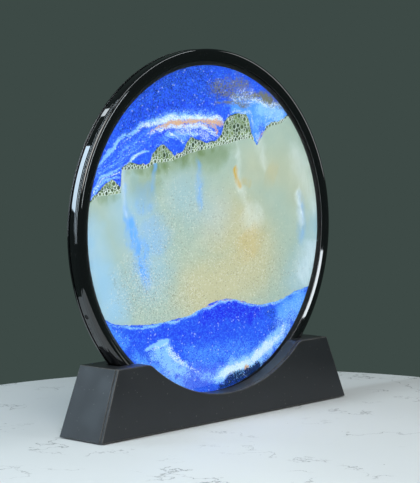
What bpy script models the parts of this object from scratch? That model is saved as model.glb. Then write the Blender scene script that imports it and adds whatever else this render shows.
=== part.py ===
"""A round moving-sand picture (a sand hourglass in a disc) that turns in a cradle stand.

Metres, +Z up. The origin is the middle of the footprint.
The picture's axis runs along Y and its front faces -Y.
"""

import math

import bmesh
import bpy
from mathutils import Vector

MM = 0.001

# Driving dimensions of the picture
RING_RADIUS = 125 * MM
OPENING_RADIUS = 116.8 * MM
PICTURE_RADIUS = 113.8 * MM
RING_THICKNESS = 12.6 * MM
PANE_THICKNESS = 2 * MM
CHAMBER_DEPTH = 4 * MM
DISC_HEIGHT = 132 * MM  # the ring's axis above the table
FIT = 0.1 * MM  # between bonded pieces
GAP = 0.3 * MM  # between pieces that a cut separates
RING_STEPS = 72

# Driving dimensions of the stand
STAND_LENGTH, STAND_TOP_LENGTH = 244 * MM, 208 * MM
STAND_DEPTH, STAND_TOP_DEPTH = 42 * MM, 38 * MM
STAND_TOP = 47 * MM
FOOT_PROUD = 0.8 * MM  # how far the feet lift the stand's edge
WALL = 2.5 * MM
SHOULDER_RADIUS = 8 * MM
SLOT_CLEARANCE = 0.5 * MM

# Worked out from them
HALF_RING = RING_THICKNESS / 2
HALF_CHAMBER = CHAMBER_DEPTH / 2
PANE_OUT = HALF_CHAMBER + PANE_THICKNESS
SEAL_IN, SEAL_OUT = PANE_OUT + FIT, PANE_OUT + FIT + 0.5 * MM
FACE_IN = SEAL_OUT + FIT  # the bezel's face, from here to HALF_RING
SPACER_INNER, SPACER_OUTER = PICTURE_RADIUS, PICTURE_RADIUS + 5.7 * MM
PANE_RADIUS = SPACER_OUTER + 0.6 * MM
BAND_INNER = PANE_RADIUS + FIT
SKIRT_INNER = RING_RADIUS - 2.3 * MM
BAND_HALF = 3.1 * MM
EDGE_ROUND = 2.6 * MM
CONTENTS_RADIUS = SPACER_INNER - FIT
CONTENTS_HALF = HALF_CHAMBER - FIT
SLOT_RADIUS = RING_RADIUS + SLOT_CLEARANCE
SLOT_HALF = HALF_RING + SLOT_CLEARANCE
LEDGE_RADIUS = PICTURE_RADIUS - 0.8 * MM
DRAFT = math.atan((STAND_DEPTH - STAND_TOP_DEPTH) / 2 / (STAND_TOP - FOOT_PROUD))
COVER_THICKNESS = 2.5 * MM

# The base plate, its feet and its screws
PLATE_BOTTOM, PLATE_TOP = 1.0 * MM, 3.2 * MM
PLATE_MARGIN = 0.4 * MM
BOSS_X, BOSS_Y, BOSS_RADIUS = 96 * MM, 11 * MM, 3.5 * MM
PILOT_RADIUS, SHANK_RADIUS, SCREW_CLEARANCE = 1.35 * MM, 1.2 * MM, 1.6 * MM
HEAD_RADIUS, HEAD_HEIGHT, SCREW_LENGTH = 2.7 * MM, 1.0 * MM, 11 * MM
FOOT_X, FOOT_Y, FOOT_RADIUS, FOOT_TOP = 108 * MM, 9.5 * MM, 5.5 * MM, 1.5 * MM

# The filling plug sits in the rim, low on the left
PLUG_ANGLE = math.radians(204)
PLUG_RADIUS, PLUG_HEAD_RADIUS, PLUG_HOLE_RADIUS = 1.15 * MM, 1.5 * MM, 1.3 * MM
PLUG_HEAD_HEIGHT = 0.9 * MM
PLUG_START, PLUG_END = SPACER_INNER + 0.3 * MM, RING_RADIUS - 0.5 * MM

parts = bpy.data.collections.new("moving_sand_picture")
cutters = bpy.data.collections.new("cutters")


def clear_scene():
    for obj in list(bpy.data.objects):
        bpy.data.objects.remove(obj, do_unlink=True)
    for collection in (parts, cutters):
        bpy.context.scene.collection.children.link(collection)


def material(name, colour, roughness, metallic=0.0, alpha=1.0):
    made = bpy.data.materials.new(name)
    made.use_nodes = True
    shader = made.node_tree.nodes["Principled BSDF"]
    shader.inputs["Base Color"].default_value = (*colour, 1.0)
    shader.inputs["Roughness"].default_value = roughness
    shader.inputs["Metallic"].default_value = metallic
    shader.inputs["Alpha"].default_value = alpha
    return made


def add(name, mesh, finish=None, cutter=False):
    """A new object from a mesh, in the parts or, as a hidden helper, among the cutters."""
    obj = bpy.data.objects.new(name, mesh)
    (cutters if cutter else parts).objects.link(obj)
    if finish:
        mesh.materials.append(finish)
    if cutter:
        obj.hide_render = True
        obj.display_type = "WIRE"
    return obj


def boolean(obj, other, operation="DIFFERENCE"):
    step = obj.modifiers.new(operation.lower() + "_" + other.name, "BOOLEAN")
    step.operation = operation
    step.object = other
    step.solver = "EXACT"


def turned(name, loop, finish=None, closed=True, steps=RING_STEPS, cutter=False):
    """Turns a profile of (radius, height) points about local Z. A closed loop makes a ring."""
    mesh = bpy.data.meshes.new(name)
    points = [Vector((r, 0, h)) for r, h in loop]
    area = sum(a.x * b.z - b.x * a.z for a, b in zip(points, points[1:] + points[:1]))
    if area > 0:
        points.reverse()
    edges = [(i, i + 1) for i in range(len(points) - 1)]
    if closed:
        edges.append((len(points) - 1, 0))
    mesh.from_pydata(points, edges, [])
    obj = add(name, mesh, finish, cutter)
    screw = obj.modifiers.new("turn", "SCREW")
    screw.steps = screw.render_steps = steps
    screw.use_merge_vertices = True
    screw.merge_threshold = 0.00001
    screw.use_smooth_shade = True
    return obj


def on_disc_axis(obj):
    """Lays local Z along -Y through the picture's centre, so heights run towards the front."""
    obj.location = (0, 0, DISC_HEIGHT)
    obj.rotation_euler = (math.pi / 2, 0, 0)
    return obj


def arc(radius, start, end, count, centre=(0.0, 0.0)):
    """Points on an arc, angles in radians."""
    return [
        (
            centre[0] + radius * math.cos(start + (end - start) * i / count),
            centre[1] + radius * math.sin(start + (end - start) * i / count),
        )
        for i in range(count + 1)
    ]


def outline(name, points, half_depth, finish=None, cutter=True, centre_z=0.0):
    """An outline in the XZ plane, as a filled 2D curve made a mesh, half_depth thick each way along Y."""
    curve = bpy.data.curves.new(name + "_curve", "CURVE")
    curve.dimensions = "2D"
    curve.fill_mode = "BOTH"
    curve.extrude = half_depth
    spline = curve.splines.new("POLY")
    spline.points.add(len(points) - 1)
    for point, (x, z) in zip(spline.points, points):
        point.co = (x, z, 0, 1)
    spline.use_cyclic_u = True
    drawn = bpy.data.objects.new(name + "_curve", curve)
    cutters.objects.link(drawn)
    bpy.context.view_layer.update()
    graph = bpy.context.evaluated_depsgraph_get()
    mesh = bpy.data.meshes.new_from_object(drawn.evaluated_get(graph))
    bpy.data.objects.remove(drawn, do_unlink=True)
    work = bmesh.new()
    work.from_mesh(mesh)
    bmesh.ops.remove_doubles(work, verts=work.verts, dist=0.00001)
    bmesh.ops.recalc_face_normals(work, faces=work.faces)
    work.to_mesh(mesh)
    work.free()
    obj = add(name, mesh, finish, cutter)
    obj.rotation_euler = (math.pi / 2, 0, 0)
    obj.location.z = centre_z
    return obj


def drafted_box(name, bottom, top, z_low, z_high, finish=None, cutter=False, bevel=0.0):
    """A box whose top rectangle (length, depth) differs from its bottom one."""
    work = bmesh.new()
    bmesh.ops.create_cube(work, size=1.0)
    for vert in work.verts:
        length, depth = top if vert.co.z > 0 else bottom
        vert.co.x *= length
        vert.co.y *= depth
        vert.co.z = z_high if vert.co.z > 0 else z_low
    mesh = bpy.data.meshes.new(name)
    work.to_mesh(mesh)
    work.free()
    obj = add(name, mesh, finish, cutter)
    if bevel:
        edge = obj.modifiers.new("edges", "BEVEL")
        edge.width = bevel
        edge.segments = 2
    return obj


def corners(x, y):
    """The four mirrored places of a fastener or foot, each with a name."""
    return [(side + "_" + end, sx * x, sy * y) for side, sy in (("front", -1), ("rear", 1))
            for end, sx in (("left", -1), ("right", 1))]


def posts(name, x, y, radius, low, high, steps=24):
    """A cutter of four upright cylinders, one at each mirrored place."""
    work = bmesh.new()
    for place, px, py in corners(x, y):
        made = bmesh.ops.create_cone(
            work, cap_ends=True, segments=steps, radius1=radius, radius2=radius, depth=high - low)
        bmesh.ops.translate(work, verts=made["verts"], vec=(px, py, (high + low) / 2))
    mesh = bpy.data.meshes.new(name)
    work.to_mesh(mesh)
    work.free()
    return add(name, mesh, None, True)


def weld(obj):
    obj.modifiers.new("weld", "WELD").merge_threshold = 0.00001


# ---- the picture's ring ----


def bezel(name, side, finish):
    """An L section: a face that holds the glass in, with a sloped lip, and a skirt with a round edge."""
    round_centre = (RING_RADIUS - EDGE_ROUND, HALF_RING - EDGE_ROUND)
    loop = [
        (OPENING_RADIUS, FACE_IN),
        (SKIRT_INNER, FACE_IN),
        (SKIRT_INNER, BAND_HALF + GAP),
        (RING_RADIUS - 0.3 * MM, BAND_HALF + GAP),
        *arc(EDGE_ROUND, 0, math.pi / 2, 6, round_centre),
        (OPENING_RADIUS + 2.6 * MM, HALF_RING - 0.1 * MM),
        (OPENING_RADIUS, FACE_IN + 0.3 * MM),
    ]
    obj = on_disc_axis(turned(name, [(r, side * h) for r, h in loop], finish))
    return obj


def rim_band(finish, plug_hole):
    """The middle ring of the rim: a T section whose web reaches inside both bezel skirts."""
    crown = RING_RADIUS - 0.3 * MM
    web, reach = SKIRT_INNER - FIT, SEAL_OUT
    flange = BAND_HALF
    loop = [
        (BAND_INNER, reach),
        (web, reach),
        (web, flange),
        (crown - 0.5 * MM, flange),
        (crown, flange - 0.7 * MM),
        (crown, 0.7 * MM - flange),
        (crown - 0.5 * MM, -flange),
        (web, -flange),
        (web, -reach),
        (BAND_INNER, -reach),
    ]
    obj = on_disc_axis(turned("rim_band", loop, finish))
    boolean(obj, plug_hole)


def flat_ring(name, inner, outer, low, high, finish):
    return on_disc_axis(turned(name, [(inner, low), (outer, low), (outer, high), (inner, high)], finish))


def pane(name, side, finish):
    inner, outer = side * HALF_CHAMBER, side * PANE_OUT
    high, low = max(inner, outer), min(inner, outer)
    edge = 0.3 * MM
    loop = [
        (0, high),
        (PANE_RADIUS - edge, high),
        (PANE_RADIUS, high - edge),
        (PANE_RADIUS, low + edge),
        (PANE_RADIUS - edge, low),
        (0, low),
    ]
    on_disc_axis(turned(name, loop, finish, closed=False))


def plug_axis(obj):
    """Lays local Z along the plug's radial axis, from the picture's centre outwards."""
    obj.location = (0, 0, DISC_HEIGHT)
    obj.rotation_euler = (0, math.pi / 2 - PLUG_ANGLE, 0)
    return obj


def plug_hole_cutter():
    head_seat = PLUG_END - PLUG_HEAD_HEIGHT - 0.2 * MM
    past = RING_RADIUS + 2 * MM
    loop = [
        (0, past),
        (PLUG_HEAD_RADIUS + 0.2 * MM, past),
        (PLUG_HEAD_RADIUS + 0.2 * MM, head_seat),
        (PLUG_HOLE_RADIUS, head_seat),
        (PLUG_HOLE_RADIUS, SPACER_INNER - 2 * MM),
        (0, SPACER_INNER - 2 * MM),
    ]
    return plug_axis(turned("plug_hole", loop, None, False, 20, cutter=True))


def fill_plug(finish):
    shoulder = PLUG_END - PLUG_HEAD_HEIGHT
    dimple, dimple_depth = 0.6 * MM, 0.4 * MM
    loop = [
        (0, PLUG_END - dimple_depth),
        (dimple, PLUG_END),
        (PLUG_HEAD_RADIUS - 0.2 * MM, PLUG_END),
        (PLUG_HEAD_RADIUS, PLUG_END - 0.2 * MM),
        (PLUG_HEAD_RADIUS, shoulder),
        (PLUG_RADIUS, shoulder),
        (PLUG_RADIUS, PLUG_START + 1.5 * MM),
        (PLUG_RADIUS * 0.7, PLUG_START),
        (0, PLUG_START),
    ]
    plug_axis(turned("fill_plug", loop, finish, closed=False, steps=20))


# ---- what the chamber holds: sand, liquid and air, as heights about the disc's centre ----

DUNE_TOP = [(-125, -52), (-103, -54), (-92, -57), (-75, -59), (-42, -60), (-27, -57), (-5, -52),
            (15, -50), (33, -53), (50, -57), (65, -55.5), (81, -52), (100, -48), (125, -44)]
AIR_BOTTOM = [(-125, 28), (-104, 29), (-87, 29), (-83, 37), (-79, 44), (-60, 45), (-54, 48), (-34, 49),
              (-19, 54), (0, 56), (20, 58), (40, 62), (52, 66), (64, 70), (76, 72), (84, 78), (125, 86)]
AIR_TOP = [(-125, 30.5), (-104, 31.5), (-87, 34), (-83, 42), (-79, 48), (-60, 50), (-52, 56), (-34, 54),
           (-19, 60), (0, 61), (16, 72), (30, 78), (42, 70), (52, 69), (64, 73), (76, 75), (84, 81),
           (125, 90)]
WHITE_ARC = [(-93, 57), (-75, 66), (-57, 74), (-38, 78.5), (-19, 80), (1, 78), (14, 74)]
GOLD_ARC = [(-46, 71), (-33, 74), (-19, 75), (-4, 74), (8, 71)]
WHITE_DRIFT = [(-72, -78), (-52, -74), (-41, -80), (-30, -88), (-14, -98), (10, -100), (32, -95), (50, -87),
               (66, -78), (84, -66)]
DARK_SAND_ARC = (math.radians(-88), math.radians(-66))


def smooth(points, per_span=4):
    """A Catmull-Rom curve through points given in millimetres, returned in metres."""
    ends = [points[0], *points, points[-1]]
    made = []
    for a, b, c, d in zip(ends, ends[1:], ends[2:], ends[3:]):
        for i in range(per_span):
            t = i / per_span
            made.append(tuple(
                0.5 * MM * (2 * q + (r - p) * t + (2 * p - 5 * q + 4 * r - s) * t * t
                            + (3 * q - p - 3 * r + s) * t ** 3)
                for p, q, r, s in zip(a, b, c, d)))
    made.append((points[-1][0] * MM, points[-1][1] * MM))
    return made


def lifted(line, by):
    return [(x, z + by) for x, z in line]


def crescent(line, thickness, grow=0.0):
    """A closed outline about a line, thickest in its middle, grown by a margin."""
    count = len(line) - 1
    halves = [thickness / 2 * math.sin(math.pi * (0.12 + 0.76 * i / count)) + grow for i in range(count + 1)]
    upper = [(x, z + h) for (x, z), h in zip(line, halves)]
    lower = [(x, z - h) for (x, z), h in zip(line, halves)]
    ends = ((line[0][0] - grow, line[0][1]), (line[-1][0] + grow, line[-1][1]))
    return [ends[0]] * bool(grow) + upper + [ends[1]] * bool(grow) + lower[::-1]


def contents_disc(name, finish):
    low, high = -CONTENTS_HALF, CONTENTS_HALF
    loop = [(0, high), (CONTENTS_RADIUS, high), (CONTENTS_RADIUS, low), (0, low)]
    return on_disc_axis(turned(name, loop, finish, closed=False))


def region(name, points, finish):
    """The part of the chamber that lies inside an outline."""
    disc = contents_disc(name, finish)
    shape = outline(name + "_outline", points, HALF_RING, centre_z=DISC_HEIGHT)
    boolean(disc, shape, "INTERSECT")
    return disc


def chamber_contents(finishes):
    beyond = 0.14
    dune, air_low, air_high = smooth(DUNE_TOP), smooth(AIR_BOTTOM), smooth(AIR_TOP)
    below, above = [(beyond, -beyond), (-beyond, -beyond)], [(beyond, beyond), (-beyond, beyond)]
    half = GAP / 2
    lower = region("lower_blue_sand", lifted(dune, -half) + below, finishes["blue_sand"])
    region("liquid", lifted(dune, half) + lifted(air_low, -half)[::-1], finishes["liquid"])
    region("air_bubbles", lifted(air_low, half) + lifted(air_high, -half)[::-1], finishes["air"])
    upper = region("upper_blue_sand", lifted(air_high, half) + above, finishes["blue_sand"])
    bands = (
        ("upper_white_sand", upper, WHITE_ARC, 5 * MM, "white_sand"),
        ("upper_gold_sand", upper, GOLD_ARC, 3.2 * MM, "gold_sand"),
        ("lower_white_sand", lower, WHITE_DRIFT, 9 * MM, "white_sand"),
    )
    for name, host, points, thickness, finish in bands:
        line = smooth(points, 3)
        outline(name, crescent(line, thickness), CONTENTS_HALF, finishes[finish], False, DISC_HEIGHT)
        hollow = outline(name + "_room", crescent(line, thickness, GAP), HALF_RING, centre_z=DISC_HEIGHT)
        boolean(host, hollow)
    outer, inner = CONTENTS_RADIUS + 1 * MM, CONTENTS_RADIUS - 7 * MM
    start, end = DARK_SAND_ARC
    sector = arc(outer, start, end, 8) + arc(inner, end, start, 8)
    region("lower_dark_sand", sector, finishes["dark_sand"])
    margin = GAP / inner
    grown = arc(outer, start - margin, end + margin, 8) + arc(inner - GAP, end + margin, start - margin, 8)
    boolean(lower, outline("dark_sand_room", grown, HALF_RING, centre_z=DISC_HEIGHT))


# ---- the stand ----


def dip_points():
    """The cradle's outline: flat tops, round shoulders and an arc about the picture's axis."""
    shoulder_z = STAND_TOP - SHOULDER_RADIUS
    reach = LEDGE_RADIUS + SHOULDER_RADIUS
    shoulder_x = math.sqrt(reach ** 2 - (DISC_HEIGHT - shoulder_z) ** 2)
    angle = math.atan2(shoulder_z - DISC_HEIGHT, shoulder_x)
    right = arc(SHOULDER_RADIUS, angle + math.pi, math.pi / 2, 6, (shoulder_x, shoulder_z))
    left = [(-x, z) for x, z in reversed(right)]
    bowl = arc(LEDGE_RADIUS, math.pi - angle - 2 * math.pi, angle, 32, (0, DISC_HEIGHT))
    above = STAND_TOP + 0.05
    return left + bowl[1:-1] + right + [(shoulder_x, above), (-shoulder_x, above)]


def front_slab(name, depth):
    """A cutter for all that lies within a depth of the sloping front face."""
    size = 0.4
    work = bmesh.new()
    bmesh.ops.create_cube(work, size=size)
    mesh = bpy.data.meshes.new(name)
    work.to_mesh(mesh)
    work.free()
    obj = add(name, mesh, None, True)
    outward = Vector((0, -math.cos(DRAFT), math.sin(DRAFT)))
    on_face = Vector((0, -STAND_DEPTH / 2, FOOT_PROUD))
    obj.rotation_euler = (-DRAFT, 0, 0)
    obj.location = on_face + outward * (size / 2 - depth)
    return obj


def stand_block(name, finish):
    block = drafted_box(name, (STAND_LENGTH, STAND_DEPTH), (STAND_TOP_LENGTH, STAND_TOP_DEPTH),
                        FOOT_PROUD, STAND_TOP, finish, bevel=0.7 * MM)
    return block


def half_length(z):
    """Half the stand's length at a height, from its end slopes."""
    share = (z - FOOT_PROUD) / (STAND_TOP - FOOT_PROUD)
    return (STAND_LENGTH + (STAND_TOP_LENGTH - STAND_LENGTH) * share) / 2


def disc_cutter(name, radius, half):
    """A round cutter on the picture's axis."""
    loop = [(0, half), (radius, half), (radius, -half), (0, -half)]
    return on_disc_axis(turned(name, loop, closed=False, cutter=True))


def cavity_cutter():
    """The stand's hollow: inside the walls, and outside the slot that the ring stands in."""
    low, high = -5 * MM, STAND_TOP - WALL
    back = STAND_DEPTH / 2 - WALL
    top_back = STAND_TOP_DEPTH / 2 - WALL
    hollow = drafted_box("cavity", (2 * (half_length(low) - WALL), 2 * back),
                         (2 * (half_length(high) - WALL), 2 * top_back), low, high, cutter=True)
    forward = drafted_box("cavity_front", (2 * (half_length(low) - WALL), 2 * WALL + 20 * MM),
                          (2 * (half_length(high) - WALL), 2 * WALL + 20 * MM), low, high, cutter=True)
    forward.location.y = -top_back
    boolean(hollow, forward, "UNION")
    ledge = disc_cutter("under_ledge", LEDGE_RADIUS + WALL, 0.1)
    channel = disc_cutter("channel_skin", SLOT_RADIUS + WALL, SLOT_HALF + WALL)
    boolean(hollow, ledge)
    boolean(hollow, channel)
    boolean(hollow, posts("bosses", BOSS_X, BOSS_Y, BOSS_RADIUS, PLATE_TOP + GAP, STAND_TOP))
    weld(hollow)
    return hollow


def stand(finishes):
    dip = outline("dip", dip_points(), 0.1)
    cover = stand_block("stand_front_cover", finishes["stand"])
    boolean(cover, front_slab("cover_slab", COVER_THICKNESS), "INTERSECT")
    boolean(cover, dip)
    body = stand_block("stand_body", finishes["stand"])
    boolean(body, front_slab("body_slab", COVER_THICKNESS + GAP))
    boolean(body, dip)
    weld(body)
    boolean(body, cavity_cutter())
    weld(body)
    boolean(body, disc_cutter("slot", SLOT_RADIUS, SLOT_HALF))
    weld(body)
    boolean(body, posts("pilots", BOSS_X, BOSS_Y, PILOT_RADIUS, 0, SCREW_LENGTH + 6 * MM, 16))
    weld(body)


def base_plate(finish):
    """A flat plate inside the stand's skirt, with seats for the feet and the screw heads."""
    def rectangle(z):
        return (2 * (half_length(z) - WALL - PLATE_MARGIN),
                STAND_DEPTH - 2 * (WALL + PLATE_MARGIN) - 2 * (z - FOOT_PROUD) * math.tan(DRAFT))

    plate = drafted_box("stand_base_plate", rectangle(PLATE_BOTTOM), rectangle(PLATE_TOP),
                        PLATE_BOTTOM, PLATE_TOP, finish)
    boolean(plate, posts("holes", BOSS_X, BOSS_Y, SCREW_CLEARANCE, -MM, PLATE_TOP + MM, 16))
    boolean(plate, posts("seats", BOSS_X, BOSS_Y, HEAD_RADIUS + GAP, -MM, PLATE_BOTTOM + HEAD_HEIGHT + FIT))
    boolean(plate, posts("recesses", FOOT_X, FOOT_Y, FOOT_RADIUS + GAP, -MM, FOOT_TOP + FIT, 32))


def feet(finish):
    for name, x, y in corners(FOOT_X, FOOT_Y):
        edge = 0.3 * MM
        loop = [(0, FOOT_TOP), (FOOT_RADIUS, FOOT_TOP), (FOOT_RADIUS, edge), (FOOT_RADIUS - edge, 0), (0, 0)]
        foot = turned("foot_" + name, loop, finish, closed=False, steps=32)
        foot.location = (x, y, 0)


def screws(finish):
    tip = PLATE_BOTTOM + HEAD_HEIGHT + SCREW_LENGTH
    seat = PLATE_BOTTOM + HEAD_HEIGHT
    for name, x, y in corners(BOSS_X, BOSS_Y):
        loop = [(0, tip), (SHANK_RADIUS * 0.4, tip), (SHANK_RADIUS, tip - 2 * MM), (SHANK_RADIUS, seat),
                (HEAD_RADIUS, seat), (HEAD_RADIUS, PLATE_BOTTOM + 0.3 * MM),
                (HEAD_RADIUS - 0.5 * MM, PLATE_BOTTOM), (0, PLATE_BOTTOM)]
        screw = turned("base_screw_" + name, loop, finish, closed=False, steps=16)
        screw.location = (x, y, 0)
        for turn in (0, math.pi / 2):
            recess = drafted_box(f"recess_{name}_{round(turn)}", (3.2 * MM, 0.7 * MM), (1.6 * MM, 0.7 * MM),
                                 PLATE_BOTTOM - 0.5 * MM, PLATE_BOTTOM + 0.6 * MM, cutter=True)
            recess.rotation_euler.z = turn
            recess.location = (x, y, 0)
            boolean(screw, recess)


def main():
    clear_scene()
    gloss = material("gloss_black_plastic", (0.010, 0.011, 0.013), 0.08)
    finishes = {
        "stand": material("satin_black_plastic", (0.022, 0.023, 0.025), 0.42),
        "blue_sand": material("blue_sand", (0.03, 0.10, 0.85), 0.9),
        "white_sand": material("white_sand", (0.75, 0.86, 0.95), 0.9),
        "gold_sand": material("gold_sand", (0.70, 0.40, 0.16), 0.8),
        "dark_sand": material("dark_sand", (0.02, 0.03, 0.08), 0.9),
        "liquid": material("clouded_liquid", (0.62, 0.76, 0.68), 0.1, alpha=0.6),
        "air": material("air", (0.9, 0.95, 0.95), 0.05, alpha=0.3),
    }
    glass = material("clear_glass", (0.95, 0.97, 0.97), 0.03, alpha=0.25)
    silicone = material("clear_silicone", (0.55, 0.56, 0.57), 0.5)
    rubber = material("black_rubber", (0.02, 0.02, 0.02), 0.85)
    steel = material("zinc_steel", (0.5, 0.5, 0.52), 0.35, metallic=1.0)
    hole = plug_hole_cutter()
    bezel("front_bezel", 1, gloss)
    bezel("rear_bezel", -1, gloss)
    rim_band(gloss, hole)
    pane("front_pane", 1, glass)
    pane("rear_pane", -1, glass)
    flat_ring("front_seal", OPENING_RADIUS + 0.5 * MM, PANE_RADIUS, SEAL_IN, SEAL_OUT, silicone)
    flat_ring("rear_seal", OPENING_RADIUS + 0.5 * MM, PANE_RADIUS, -SEAL_OUT, -SEAL_IN, silicone)
    spacer_half = HALF_CHAMBER - FIT
    spacer = flat_ring("chamber_spacer", SPACER_INNER, SPACER_OUTER, -spacer_half, spacer_half, gloss)
    boolean(spacer, hole)
    fill_plug(rubber)
    chamber_contents(finishes)
    stand(finishes)
    base_plate(finishes["stand"])
    feet(rubber)
    screws(steel)


main()
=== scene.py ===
"""The looks of a round moving-sand picture in its cradle stand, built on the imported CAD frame.

World units are metres. The picture's contents are laid out in millimetres about the disc's centre,
x to the right and z up as seen from the front, and then placed with on_disc().
"""

import math

import bmesh
import bpy
import numpy as np
from mathutils import Matrix, Quaternion, Vector


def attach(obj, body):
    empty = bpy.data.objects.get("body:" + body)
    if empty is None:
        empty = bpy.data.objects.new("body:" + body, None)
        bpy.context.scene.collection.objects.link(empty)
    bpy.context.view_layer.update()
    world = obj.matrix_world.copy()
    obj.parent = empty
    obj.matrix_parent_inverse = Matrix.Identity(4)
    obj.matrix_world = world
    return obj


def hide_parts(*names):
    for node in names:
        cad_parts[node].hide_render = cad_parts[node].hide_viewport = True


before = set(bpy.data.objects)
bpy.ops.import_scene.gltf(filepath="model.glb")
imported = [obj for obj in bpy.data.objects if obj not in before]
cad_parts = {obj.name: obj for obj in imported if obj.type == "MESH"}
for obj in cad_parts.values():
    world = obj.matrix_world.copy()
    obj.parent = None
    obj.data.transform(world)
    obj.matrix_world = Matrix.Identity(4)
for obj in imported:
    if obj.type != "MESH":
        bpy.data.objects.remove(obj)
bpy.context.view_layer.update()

MM = 0.001
DISC_HEIGHT = 132 * MM
# The sizes in this block are in millimetres.
RING_RADIUS = 125
OPENING_RADIUS = 116.8
HALF_RING = 6.3
PANE_IN, PANE_OUT, PANE_RADIUS = 2, 4, 120.1
FACE_IN, SEAL_OUT = 4.7, 4.6
SKIRT_INNER = 122.7
BAND_HALF = 3.1
BAND_CROWN = 124.7
BAND_INNER = 120.2
CHAMBER_RADIUS = 113.7
CHAMBER_HALF = 1.9
STAND_LENGTH, STAND_TOP_LENGTH = 244, 208
STAND_DEPTH, STAND_TOP_DEPTH = 42, 38
STAND_BOTTOM, STAND_TOP = 0.8, 47
WALL = 2.5
SHOULDER_RADIUS = 8
LEDGE_RADIUS = 113
SLOT_RADIUS, SLOT_HALF = 125.5, 6.8
COVER_THICKNESS, SEAM = 2.5, 0.3
PLUG_ANGLE = math.radians(204)
ROUND_STEPS, DISC_STEPS = 256, 192


# ---- meshes ----


def new_object(name, mesh, body, replaced=()):
    """Adds an object that rides a body and stands in for CAD nodes."""
    obj = bpy.data.objects.new(name, mesh)
    bpy.context.scene.collection.objects.link(obj)
    if body:
        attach(obj, body)
    if replaced:
        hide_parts(*replaced)
    return obj


def mesh_of(name, vertices, faces, scale=MM):
    mesh = bpy.data.meshes.new(name)
    mesh.from_pydata([tuple(c * scale for c in v) for v in vertices], [], faces)
    work = bmesh.new()
    work.from_mesh(mesh)
    bmesh.ops.recalc_face_normals(work, faces=work.faces)
    work.to_mesh(mesh)
    work.free()
    return mesh


def smooth_shade(mesh, sharp_degrees=None):
    mesh.polygons.foreach_set("use_smooth", [True] * len(mesh.polygons))
    if sharp_degrees is not None:
        mesh.set_sharp_from_angle(angle=math.radians(sharp_degrees))


def on_disc(x, y, z):
    """Disc millimetres to world millimetres."""
    return (x, y, z + DISC_HEIGHT / MM)


def turned(profile, closed=True, steps=ROUND_STEPS, place=on_disc, first=0):
    """(radius, y) points turned about the disc's axis, as vertices and faces numbered from first.

    An open profile starts and ends on the axis.
    """
    vertices, rows = [], []
    for radius, y in profile:
        if radius == 0:
            rows.append([first + len(vertices)] * steps)
            vertices.append(place(0, y, 0))
            continue
        start = first + len(vertices)
        for i in range(steps):
            angle = 2 * math.pi * i / steps
            vertices.append(place(radius * math.cos(angle), y, radius * math.sin(angle)))
        rows.append(list(range(start, start + steps)))
    faces = []
    for low, high in zip(rows, rows[1:] + rows[:1] if closed else rows[1:]):
        for i in range(steps):
            k = (i + 1) % steps
            loop = [low[i], low[k], high[k], high[i]]
            loop = [v for j, v in enumerate(loop) if v not in loop[:j]]
            if len(loop) > 2:
                faces.append(loop)
    return vertices, faces


def lathe(name, *shape):
    """A mesh of what turned() makes."""
    return mesh_of(name, *turned(*shape))


def arc(radius, start, end, count, centre=(0, 0)):
    angles = np.linspace(start, end, count + 1)
    return [(centre[0] + radius * math.cos(a), centre[1] + radius * math.sin(a)) for a in angles]


def corner(at, before, after, radius, count=4):
    """A profile corner as points of a quadratic curve. A pair of radii makes its two sides differ."""
    lead, trail = radius if isinstance(radius, tuple) else (radius, radius)
    at, before, after = (np.array(p, float) for p in (at, before, after))
    start = at + (before - at) / np.linalg.norm(before - at) * lead
    end = at + (after - at) / np.linalg.norm(after - at) * trail
    shares = np.linspace(0, 1, count + 1)
    return [tuple((1 - t) ** 2 * start + 2 * t * (1 - t) * at + t * t * end) for t in shares]


def rounded(points, radii, count=4):
    """A closed profile with each corner rounded by its own radius, 0 for a sharp one."""
    made = []
    for i, (point, radius) in enumerate(zip(points, radii)):
        before, after = points[i - 1], points[(i + 1) % len(points)]
        made += corner(point, before, after, radius, count) if radius else [tuple(point)]
    return made


def applied(obj):
    """Replaces an object's mesh by its modified one."""
    bpy.context.view_layer.update()
    mesh = bpy.data.meshes.new_from_object(obj.evaluated_get(bpy.context.evaluated_depsgraph_get()))
    obj.modifiers.clear()
    obj.data = mesh


def cut(obj, *meshes):
    """Cuts meshes out of an object, for good."""
    for mesh in meshes:
        cutter = bpy.data.objects.new("cutter", mesh)
        bpy.context.scene.collection.objects.link(cutter)
        step = obj.modifiers.new("cut", "BOOLEAN")
        step.operation = "DIFFERENCE"
        step.solver = "EXACT"
        step.object = cutter
        applied(obj)
        bpy.data.objects.remove(cutter, do_unlink=True)
    work = bmesh.new()
    work.from_mesh(obj.data)
    bmesh.ops.remove_doubles(work, verts=work.verts, dist=0.01 * MM)
    work.to_mesh(obj.data)
    work.free()


def bevelled(obj, width, sharp_degrees, edge_material):
    """Rounds an object's sharp edges and gives them the material in a slot of their own."""
    step = obj.modifiers.new("edges", "BEVEL")
    step.width = width * MM
    step.segments = 3
    step.limit_method = "ANGLE"
    step.angle_limit = math.radians(sharp_degrees)
    step.use_clamp_overlap = True
    step.material = edge_material
    applied(obj)


# ---- node materials ----


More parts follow.
